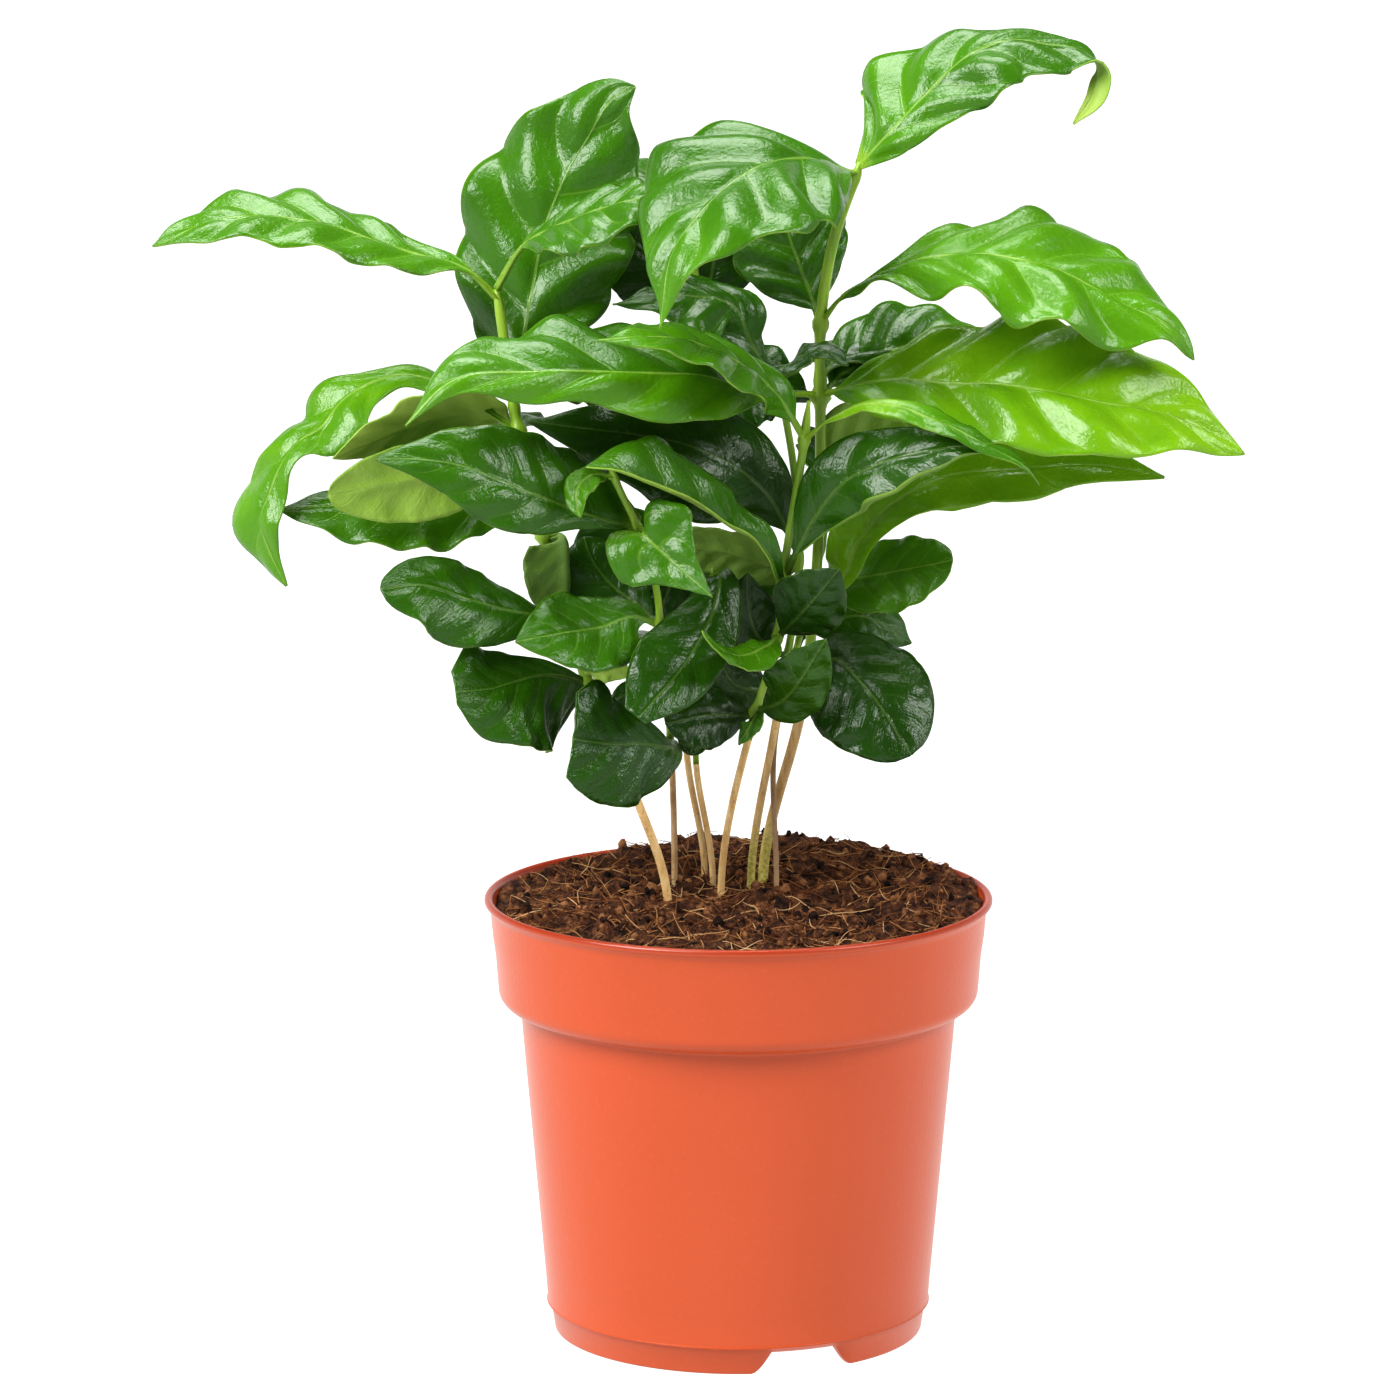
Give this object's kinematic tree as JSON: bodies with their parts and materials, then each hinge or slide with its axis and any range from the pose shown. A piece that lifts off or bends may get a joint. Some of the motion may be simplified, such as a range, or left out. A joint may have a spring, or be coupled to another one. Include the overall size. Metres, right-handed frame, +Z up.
{
  "type": "potted coffee plant",
  "caption": "Bushy young coffee plant with glossy wavy leaves, rising on thin stems from dark peat and coir in a round tapered plastic nursery pot.",
  "frame": {"origin": "on the surface the pot stands on, under the middle of the whole plant's bounding box", "axes": "+Z up, +X to the right and +Y away from the viewer who sees the plant as pictured"},
  "size_m": [0.2506, 0.1365, 0.3051],
  "materials": {
    "pot_plastic": "satin terracotta-orange plastic",
    "soil": "rough peat and coir fibre",
    "bark": "thin tan bark",
    "leaf": "glossy, quilted between the veins"
  },
  "bodies": {
    "root": {"pot": "pot_plastic", "growing_mix": "soil", "stem_a": "bark", "stem_b": "bark", "stem_c": "bark", "stem_d": "bark", "stem_e": "bark", "stem_f": "bark", "stem_g": "bark", "stem_h": "bark", "shoot_a": "leaf", "shoot_b": "leaf", "shoot_c": "leaf", "shoot_d": "leaf", "shoot_e": "leaf", "shoot_f": "leaf", "shoot_g": "leaf", "shoot_h": "leaf"}
  },
  "joints": []
}
